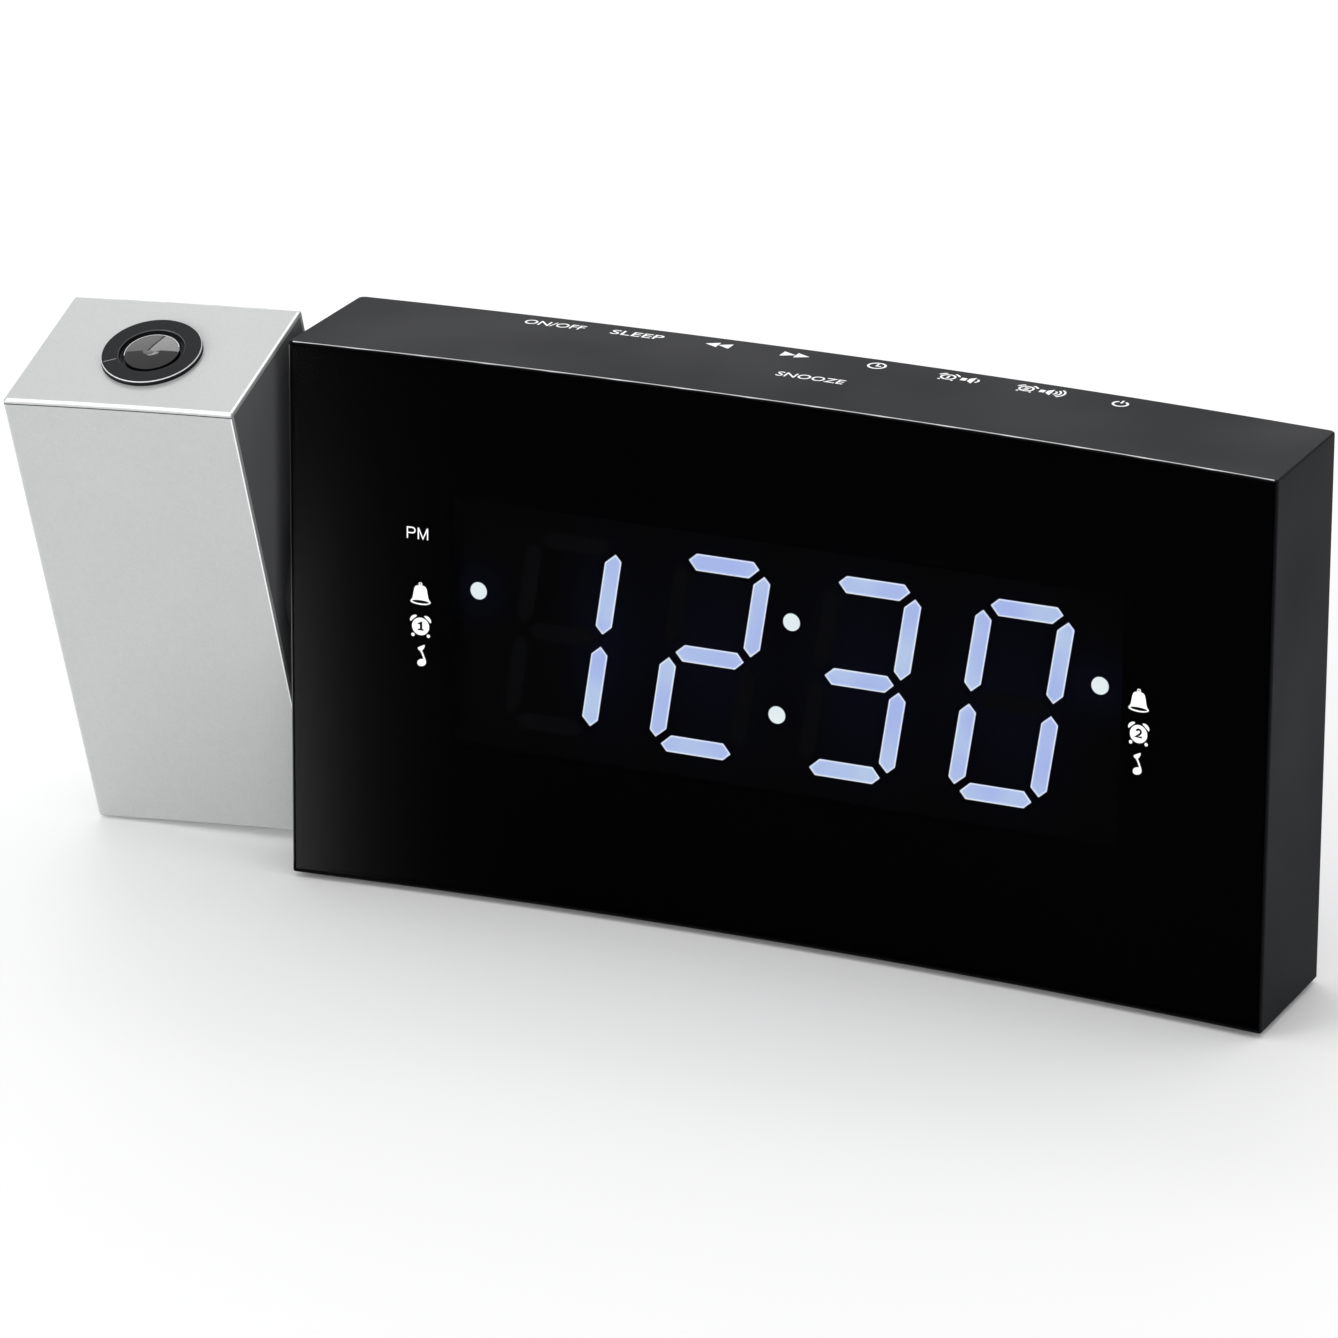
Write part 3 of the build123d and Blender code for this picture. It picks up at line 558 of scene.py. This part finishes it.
def grow(lp, w):
    """Moves an outline out by w on the side of the ink: outer loops grow, counters shrink."""
    s = 1 if signed_area(lp) > 0 else -1
    n = len(lp)
    out = []
    for i in range(n):
        a, b, c = Vector(lp[i - 1]), Vector(lp[i]), Vector(lp[(i + 1) % n])
        d1, d2 = (b - a), (c - b)
        if d1.length < 1e-9 or d2.length < 1e-9:
            out.append(lp[i])
            continue
        n1 = Vector((d1.y, -d1.x)).normalized()
        n2 = Vector((d2.y, -d2.x)).normalized()
        m = (n1 + n2)
        if m.length < 1e-6:
            out.append(lp[i])
            continue
        m.normalize()
        k = w / max(0.5, m.dot(n1))
        out.append((b.x + m.x * k * s, b.y + m.y * k * s))
    return out


# ---------------------------------------------------------------- icons
def bell():
    body = [(-1.54, -1.13), (-1.37, -0.97), (-1.20, -0.66), (-1.10, -0.25), (-1.03, 0.20), (-0.95, 0.62), (-0.82, 0.96), (-0.62, 1.14),
            (-0.22, 1.20)]
    top = [(-0.20, 1.28), (-0.28, 1.38), (-0.27, 1.54), (-0.13, 1.66), (0.13, 1.66), (0.27, 1.54), (0.28, 1.38), (0.20, 1.28)]
    right = [(-u, v) for u, v in reversed(body)]
    low = arc_points((0, -1.15), 1.54, 0, -180, 18, 0.50)[1:-1]
    outline = body + top + right + low
    hole = circle(1.27, 28, (0.02, -1.20), 0.24, -0.02)
    loop = circle(0.13, 14, (0, 1.45))
    return [(outline[::-1], [hole, loop])]


def numeral(n):
    if n == 1:
        return [(-0.46, -0.68), (0.50, -0.68), (0.50, -0.46), (0.27, -0.42), (0.27, 0.70), (0.00, 0.70), (-0.16, 0.52), (-0.46, 0.44),
                (-0.46, 0.22), (-0.13, 0.24), (-0.13, -0.42), (-0.46, -0.46)]
    line = arc_points((0.0, 0.27), 0.35, 168, -28, 9) + [(0.08, -0.16), (-0.42, -0.50), (0.54, -0.50)]
    return stroke(line, 0.32)


def alarm_clock(n, gap=0.2):
    shape = [(circle(1.34, 44, (0, -0.06)), [numeral(n)])]
    for s in (-1, 1):
        ang = math.radians(90 - s * 43)
        d = Vector((math.cos(ang), math.sin(ang)))
        t = Vector((-d.y, d.x))
        base = d * (1.34 + gap) + Vector((0, -0.06))
        cap_pts = []
        for i in range(15):
            a = math.pi * i / 14
            q = base + t * (0.68 * math.cos(a)) + d * (0.46 * math.sin(a))
            cap_pts.append((q.x, q.y))
        shape.append((cap_pts, []))
        shape.append((circle(0.26, 18, (s * 1.20, -1.42)), []))
    return shape


def note():
    head = circle(0.70, 26, (-0.04, -1.03), 0.53, math.radians(22))
    stem = stroke([(-0.34, 1.10), (0.10, 0.32), (0.52, -0.80)], 0.25)
    flag = [(-0.64, 1.20), (-0.26, 1.40), (0.42, 1.74), (0.42, 1.40), (0.24, 1.06), (0.02, 0.78), (-0.24, 0.66), (-0.56, 0.92)]
    return [(head, []), (stem, []), (flag, [])]


def pm_letters():
    """Plain thin sans letters P and M, cap height 1.85."""
    w = 0.20
    h = 0.925
    bowl = [(-1.66, h - w / 2), (-0.84, h - w / 2)] + arc_points((-0.84, 0.40), 0.42, 90, -90, 12, 0.425)[1:] + [(-1.66, -0.025)]
    out = [(stroke([(-1.66, -h), (-1.66, h)], w), []), (stroke(bowl, w), [])]
    for a, b in (((0.12, -h), (0.12, h)), ((1.62, -h), (1.62, h))):
        out.append((stroke([a, b], w), []))
    out.append((stroke([(0.15, h - 0.06), (0.87, -h + 0.10), (1.59, h - 0.06)], w * 0.95), []))
    return out


def triangles(right, width, h):
    half = width / 2
    s = 1 if right else -1
    out = []
    for c in (-half / 2, half / 2):
        tri = [(c - s * half / 2, -h / 2), (c + s * half / 2, 0), (c - s * half / 2, h / 2)]
        out.append((tri if right else tri[::-1], []))
    return out


def clock_icon():
    return [(circle(1.38, 40), [circle(1.04, 40)]), (stroke([(-0.02, 0.84), (-0.02, -0.10), (0.66, -0.10)], 0.30), [])]


def power_icon():
    ring_line = arc_points((0, -0.1), 1.04, 118, 422, 40)
    return [(stroke(ring_line, 0.34), []), (stroke([(0, 0.20), (0, 1.38)], 0.32), [])]


def small_alarm(n):
    """Outline alarm clock, as printed small."""
    shape = [(circle(1.25, 40, (0, -0.1)), [circle(0.90, 40, (0, -0.1))]), (numeral_bar(n), [])]
    for s in (-1, 1):
        line = arc_points((0, -0.1), 1.74, 90 - s * 22, 90 - s * 66, 8)
        shape.append((stroke(line, 0.36), []))
        shape.append((circle(0.22, 14, (s * 1.02, -1.42)), []))
    return shape


def numeral_bar(n):
    if n == 1:
        return stroke([(0.0, -0.62), (0.0, 0.48)], 0.34)
    return stroke([(-0.36, 0.30), (0.34, 0.30), (-0.32, -0.52), (0.42, -0.52)], 0.28)


def speaker_icon(waves):
    out = [([(-1.42, -0.46), (-0.74, -0.46), (-0.74, 0.46), (-1.42, 0.46)], []),
           ([(-0.52, -0.46), (0.16, -1.10), (0.16, 1.10), (-0.52, 0.46)], [])]
    for i in range(waves):
        r = 0.72 + 0.52 * i
        out.append((stroke(arc_points((0.0, 0), r, -50, 50, 10), 0.25), []))
    return out


# front face
def front(name, shape, x, z, material=None):
    plate(name, shape, on_front(x, z), -0.015, 0.035, material or ICON, "case")


front("icon_pm", moved(pm_letters(), 0, 0, 0.91), -35.70, 53.1)
front("icon_bell_left", moved(bell(), 0, 0, 0.985), -35.30, 44.35)
front("icon_alarm_one", moved(alarm_clock(1), 0, 0, 0.95), -35.30, 39.62)
front("icon_note_left", moved(note(), 0, 0, 0.96), -35.12, 35.28)
front("icon_bell_right", moved(bell(), 0, 0, 0.985), 71.18, 44.83)
front("icon_alarm_two", moved(alarm_clock(2), 0, 0, 0.95), 71.28, 40.15)
front("icon_note_right", moved(note(), 0, 0, 0.96), 71.25, 35.83)


# top face
def top(name, shape, x, d):
    plate(name, shape, on_top(x, d), -0.015, 0.015, INK, "case")


top("label_on_off", text_shape("ON/OFF", 1.85, 8.85, 0.02), -24.18, 20.3)
top("label_sleep", text_shape("SLEEP", 1.85, 7.65, 0.02), -11.90, 20.3)
top("label_snooze", text_shape("SNOOZE", 1.85, 9.9, 0.02), 17.47, 11.6)
top("label_tune_back", triangles(False, 3.73, 2.1), 0.16, 20.3)
top("label_tune_forward", triangles(True, 4.08, 2.1), 11.70, 20.3)
top("label_clock_set", clock_icon(), 23.65, 20.6)
top("label_alarm_one", moved(small_alarm(1), -1.75, 0, 0.92) + moved(speaker_icon(1), 1.85, -0.1, 1.2), 36.15, 20.3)
top("label_alarm_two", moved(small_alarm(2), -2.15, 0, 0.92) + moved(speaker_icon(3), 1.45, -0.1, 1.15), 48.15, 20.3)
top("label_power", power_icon(), 60.0, 20.0)

# ring index
ang = math.radians(-146.5)
plate("ring_index_line", [(stroke([(5.0 * math.cos(ang), 5.0 * math.sin(ang)), (6.8 * math.cos(ang), 6.8 * math.sin(ang))], 0.11), [])],
      on_ring(), -0.01, 0.008, TICK, "focus_ring")

# ---------------------------------------------------------------- bright rims of the lit segments, painted light: brighter emission for the light the reflector cell walls catch
TOP_SEG = [(-5.27, 13.62), (-4.22, 14.69), (4.30, 14.69), (5.30, 13.64), (3.95, 12.20), (-3.92, 12.20)]
MID_SEG = [(-5.15, 0.0), (-3.93, 1.24), (3.95, 1.24), (5.12, 0.0), (3.98, -1.24), (-3.92, -1.24)]
SIDE_SEG = [(6.17, 12.80), (7.21, 11.80), (7.21, 2.10), (5.98, 0.87), (4.74, 2.07), (4.74, 11.45)]


def flip(points, fu, fv):
    return [(u * fu, v * fv) for u, v in points]


SEGS = {"a": TOP_SEG, "g": MID_SEG, "d": flip(TOP_SEG, 1, -1), "b": SIDE_SEG, "f": flip(SIDE_SEG, -1, 1),
        "c": flip(SIDE_SEG, 1, -1), "e": flip(SIDE_SEG, -1, -1)}
SHOW = {0: "bc", 1: "abged", 2: "abgcd", 3: "abcdef"}


def on_display(u, v, w):
    du = u - DIGIT_MID_X
    return Vector((DIGIT_MID_X + du * math.cos(DISP_TURN) - w * math.sin(DISP_TURN),
                   DISP_Y + SY - du * math.sin(DISP_TURN) - w * math.cos(DISP_TURN), DISP_Z + v)) / 1000


rims = []
for k, names in SHOW.items():
    dx = DIGIT_MID_X + DIGIT_PITCH * (k - 1.5)
    for name in names:
        lp = [(dx + u + v * DIGIT_SLANT, v) for u, v in SEGS[name]]
        rims.append((grow(lp, -0.05), [grow(lp, -0.20)]))
plate("segment_rims_painted_glow", rims, on_display, 0.0, 0.04, SEG_RIM, "case")

# ---------------------------------------------------------------- painted highlights on edges
# painted highlight: light grey for bright edge glints on dark parts
EDGE = moulded("painted_edge_highlight", (0.62, 0.62, 0.63), 0.10, (0.25, 0.35), grain=2600, strength=0.05)
# painted highlight: near-white for the bright edges of the silver pod
POD_EDGE = moulded("pod_painted_edge_highlight", (0.90, 0.905, 0.905), 0.04, (0.28, 0.36), grain=3600, strength=0.06)
# painted highlight: dim grey for faint edge glints
EDGE_DIM = moulded("dim_painted_edge_highlight", (0.055, 0.056, 0.058), 0.12, (0.35, 0.45), grain=2600, strength=0.05)


def strip(name, sections, material, body, closed=False):
    """Thin closed strip through cross-sections of the same number of points."""
    bm = bmesh.new()
    rows = [[bm.verts.new(q) for q in sec] for sec in sections]
    k = len(rows[0])
    pairs = list(zip(rows, rows[1:])) + ([(rows[-1], rows[0])] if closed else [])
    for r0, r1 in pairs:
        for i in range(k):
            j = (i + 1) % k
            bm.faces.new((r0[i], r0[j], r1[j], r1[i]))
    if not closed:
        bm.faces.new(rows[0])
        bm.faces.new(rows[-1][::-1])
    bmesh.ops.recalc_face_normals(bm, faces=bm.faces[:])
    mesh = bpy.data.meshes.new(name)
    bm.to_mesh(mesh)
    bm.free()
    mesh.materials.append(material)
    o = bpy.data.objects.new(name, mesh)
    bpy.context.scene.collection.objects.link(o)
    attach(o, body)
    return o


def top_edge_section(x):
    """Painted highlight: lens-shaped sliver on the 0.3 mm rounding between the front lip and the top."""
    out, back = [], []
    for i in range(5):
        a = math.radians(34 + 32 * i / 4)
        lift = 0.012 if 0 < i < 4 else 0.0
        for r, rowlist in ((0.3 + lift, out), (0.27, back)):
            d, z = 0.3 - r * math.cos(a), Z1 - 0.3 + r * math.sin(a)
            rowlist.append(Vector((x, arc_y(x, d) + SY, z)) / 1000)
    return out + back[::-1]


strip("lens_edge_painted_highlight", [top_edge_section(-54.0 + (89.9 + 54.0) * i / 72) for i in range(73)], EDGE, "case")


# painted highlight: a dim sliver on the 0.38 mm rounding of the case's front-left edge
def left_edge_section(z):
    out, back = [], []
    for i in range(4):
        a = math.radians(20 + 40 * i / 3)
        lift = 0.010 if 0 < i < 3 else 0.0
        for r, rowlist in ((0.38 + lift, out), (0.35, back)):
            x, d = -54.7 + 0.38 - r * math.sin(a), 0.38 - r * math.cos(a)
            rowlist.append(Vector((x, arc_y(x, d) + SY, z)) / 1000)
    return out + back[::-1]


strip("left_edge_painted_highlight", [left_edge_section(2.2 + 76.0 * i / 24) for i in range(25)], EDGE_DIM, "case")


def ring_edge_section(t):
    """Painted highlight: sliver on the 0.2 mm rounding of the focus ring's outer edge."""
    at = on_ring()
    out, back = [], []
    for i in range(4):
        a = math.radians(25 + 50 * i / 3)
        lift = 0.008 if 0 < i < 3 else 0.0
        for r, rowlist in ((0.2 + lift, out), (0.175, back)):
            rad, w = RING_R - 0.2 + r * math.sin(a), -0.2 + r * math.cos(a)
            rowlist.append(at(rad * math.cos(t), rad * math.sin(t), w))
    return out + back[::-1]


strip("ring_edge_painted_highlight", [ring_edge_section(2 * math.pi * i / 120) for i in range(120)], EDGE, "focus_ring", closed=True)


def on_pod(x, d, h):
    """Point of the upright pod (x, depth behind its curved line, height above the pivot), tilted with it."""
    y = arc_y(x, d) - PIV_Y0
    c, sn = math.cos(POD_TILT), math.sin(POD_TILT)
    return Vector((x, PIV_Y0 + SY + y * c - h * sn, PIV_Z + y * sn + h * c)) / 1000


POD_L, POD_R, POD_F, POD_B = -90.5, -57.0, -0.3, 23.9


# painted highlight: near-white sliver over the rounding of the pod's top-front edge
def pod_front_edge(x):
    out, back = [], []
    for i in range(6):
        a = math.radians(37 + 51 * i / 5)
        for r, rowlist in ((0.46 + (0.010 if i else 0.0), out), (0.43, back)):
            rowlist.append(on_pod(x, POD_F + 0.46 - r * math.cos(a), POD_H / 2 - 0.46 + r * math.sin(a)))
    out.append(on_pod(x, POD_F + 0.60, POD_H / 2 + 0.008))
    back.append(on_pod(x, POD_F + 0.60, POD_H / 2 - 0.03))
    return out + back[::-1]


strip("pod_front_edge_painted_highlight", [pod_front_edge(POD_L + 0.5 + (POD_R - 0.16 - POD_L - 0.5) * i / 24) for i in range(25)], POD_EDGE, "projector_pod")


# painted shade: a black strip laid in the seam groove under the pod's front-top edge stands in for the groove's shade
def pod_groove(x):
    d0, d1, h0, h1 = POD_F + 0.03, POD_F + 0.19, POD_H / 2 - 0.655, POD_H / 2 - 0.485
    return [on_pod(x, d0, h0), on_pod(x, d1, h0), on_pod(x, d1, h1), on_pod(x, d0, h1)]


strip("pod_seam_painted_shade", [pod_groove(POD_L + 0.25 + (POD_R - 0.1 - POD_L - 0.25) * i / 24) for i in range(25)], HUB, "projector_pod")


def ring_mouth_section(t):
    """Painted highlight: dim sliver on the small chamfer round the mouth of the focus ring."""
    at = on_ring()
    return [at(r * math.cos(t), r * math.sin(t), w) for r, w in ((4.757, -0.004), (4.657, -0.104), (4.675, -0.122), (4.775, -0.022))]


strip("ring_mouth_painted_highlight", [ring_mouth_section(2 * math.pi * i / 96) for i in range(96)], EDGE_DIM, "focus_ring", closed=True)


def lens_rim_highlight_section(t):
    """Painted highlight: light grey sliver on part of the rim of the projection lens."""
    at = on_ring()
    return [at(r * math.cos(t), r * math.sin(t), w) for r, w in ((3.892, -0.243), (3.79, -0.233), (3.79, -0.27), (3.892, -0.27))]


strip("lens_rim_painted_highlight", [lens_rim_highlight_section(math.radians(28 + 176 * i / 60)) for i in range(61)], EDGE, "lens_cell")


# painted highlight: near-white sliver over the rounding of the pod's top-right edge
def pod_right_edge(d):
    out, back = [], []
    for i in range(5):
        a = math.radians(90 - 62 * i / 4)
        lift = 0.012 if i < 4 else 0.0
        out.append(on_pod(POD_R - 0.15 + (0.15 + lift) * math.cos(a), d, POD_H / 2 - 0.15 + (0.15 + lift) * math.sin(a)))
        back.append(on_pod(POD_R - 0.15 + 0.12 * math.cos(a), d, POD_H / 2 - 0.15 + 0.12 * math.sin(a)))
    return [on_pod(POD_R - 0.36, d, POD_H / 2 + 0.004)] + out + back[::-1] + [on_pod(POD_R - 0.36, d, POD_H / 2 - 0.03)]


strip("pod_right_edge_painted_highlight", [pod_right_edge(POD_F + 0.5 + (POD_B - POD_F - 1.0) * i / 16) for i in range(17)], POD_EDGE, "projector_pod")


# painted highlight: near-white sliver over the rounding of the pod's front-right edge
def pod_right_front(h):
    out, back = [], []
    for i in range(4):
        a = math.radians(90 - 60 * i / 3)
        lift = 0.012 if i < 3 else 0.0
        out.append(on_pod(POD_R - 0.15 + (0.15 + lift) * math.cos(a), POD_F + 0.15 - (0.15 + lift) * math.sin(a), h))
        back.append(on_pod(POD_R - 0.15 + 0.12 * math.cos(a), POD_F + 0.15 - 0.12 * math.sin(a), h))
    return [on_pod(POD_R - 0.20, POD_F - 0.004, h)] + out + back[::-1] + [on_pod(POD_R - 0.20, POD_F + 0.03, h)]


strip("pod_right_front_painted_highlight", [pod_right_front(POD_H / 2 - 0.7 - (POD_H - 1.6) * i / 30) for i in range(31)], POD_EDGE, "projector_pod")

# ---------------------------------------------------------------- floor, light, camera
floor = bpy.data.objects.new("floor", bpy.data.meshes.new("floor"))
bpy.context.scene.collection.objects.link(floor)
S = 12.0
floor.data.from_pydata([(-S, -S, -0.00002), (S, -S, -0.00002), (S, S, -0.00002), (-S, S, -0.00002)], [], [(0, 1, 2, 3)])
fm, fnt, fp = new_mat("floor_paper")
fc = coords(fnt)
fnt.links.new(ramp(fnt, noise(fnt, fc, 6, 2.0, 0.5), [(0.3, (0.94, 0.94, 0.94)), (0.7, (0.955, 0.955, 0.955))]), fp.inputs["Base Color"])
fp.inputs["Roughness"].default_value = 0.9
fp.inputs["Specular IOR Level"].default_value = 0.1
floor.data.materials.append(fm)

world = bpy.data.worlds.new("studio")
bpy.context.scene.world = world
world.use_nodes = True
wn = world.node_tree
bg = wn.nodes["Background"]
bg.inputs["Color"].default_value = (1.0, 1.0, 1.0, 1)
bg.inputs["Strength"].default_value = 0.88


def softbox(name, at, target, size, radiance, size_y=None):
    li = bpy.data.lights.new(name, "AREA")
    li.shape = "RECTANGLE"
    li.size = size
    li.size_y = size_y or size
    li.energy = radiance * math.pi * size * (size_y or size)
    o = bpy.data.objects.new(name, li)
    bpy.context.scene.collection.objects.link(o)
    o.location = at
    o.rotation_euler = (Vector(target) - Vector(at)).to_track_quat("-Z", "Y").to_euler()
    o.visible_camera = False
    return o


pod_top = Vector((-0.074, -0.013, 0.075))
def back_box(name, at, width, height, radiance):
    """Light behind and above the pod, rolled about its own aim."""
    o = softbox(name, Vector(at), pod_top, width, radiance, height)
    along, away = Vector((0.8664, 0.0531, 0.4966)), Vector((-0.4507, 0.5114, 0.7317))
    o.rotation_euler = Matrix((along, away.cross(along), away)).transposed().to_euler()


back_box("back_left_box", (-0.7818, 0.7009, 1.0533), 0.249, 0.254, 1.75)
back_box("back_right_box", (-0.5823, 0.7131, 1.1677), 0.187, 0.254, 4.2)
softbox("low_back_box", Vector((-0.38, 0.86, 0.33)) * 2.6, Vector((0.02, 0, 0.078)), 1.7, 2.4, 0.8)
softbox("overhead_box", Vector((0.1, -0.25, 1.9)), Vector((0, 0, 0)), 1.3, 0.5)
softbox("front_left_box", Vector((-1.3, -1.7, 0.32)), Vector((0, 0, 0.02)), 1.0, 9.0)

cam_data = bpy.data.cameras.new("camera")
cam = bpy.data.objects.new("camera", cam_data)
bpy.context.scene.collection.objects.link(cam)
F_PX, YAW, PITCH, ROLL = 8483.38, 0.3990485, 0.3349755, 0.0068630
CAM_AT = (427.9977, -1011.0184, 420.2257)
cam_data.sensor_width = 36.0
cam_data.lens = F_PX * 36.0 / 1338.0
cam_data.clip_start, cam_data.clip_end = 0.05, 60.0
fwd = Vector((-math.sin(YAW) * math.cos(PITCH), math.cos(YAW) * math.cos(PITCH), -math.sin(PITCH)))
right = Vector((math.cos(YAW), math.sin(YAW), 0))
up = right.cross(fwd)
r2 = right * math.cos(ROLL) + up * math.sin(ROLL)
u2 = up * math.cos(ROLL) - right * math.sin(ROLL)
m = Matrix((r2, u2, -fwd)).transposed().to_4x4()
m.translation = Vector((CAM_AT[0], CAM_AT[1] + SY, CAM_AT[2])) / 1000
cam.matrix_world = m
bpy.context.scene.camera = cam

vs = bpy.context.scene.view_settings
vs.view_transform = "Standard"
vs.look = "None"
vs.exposure = 0.0
vs.gamma = 1.0
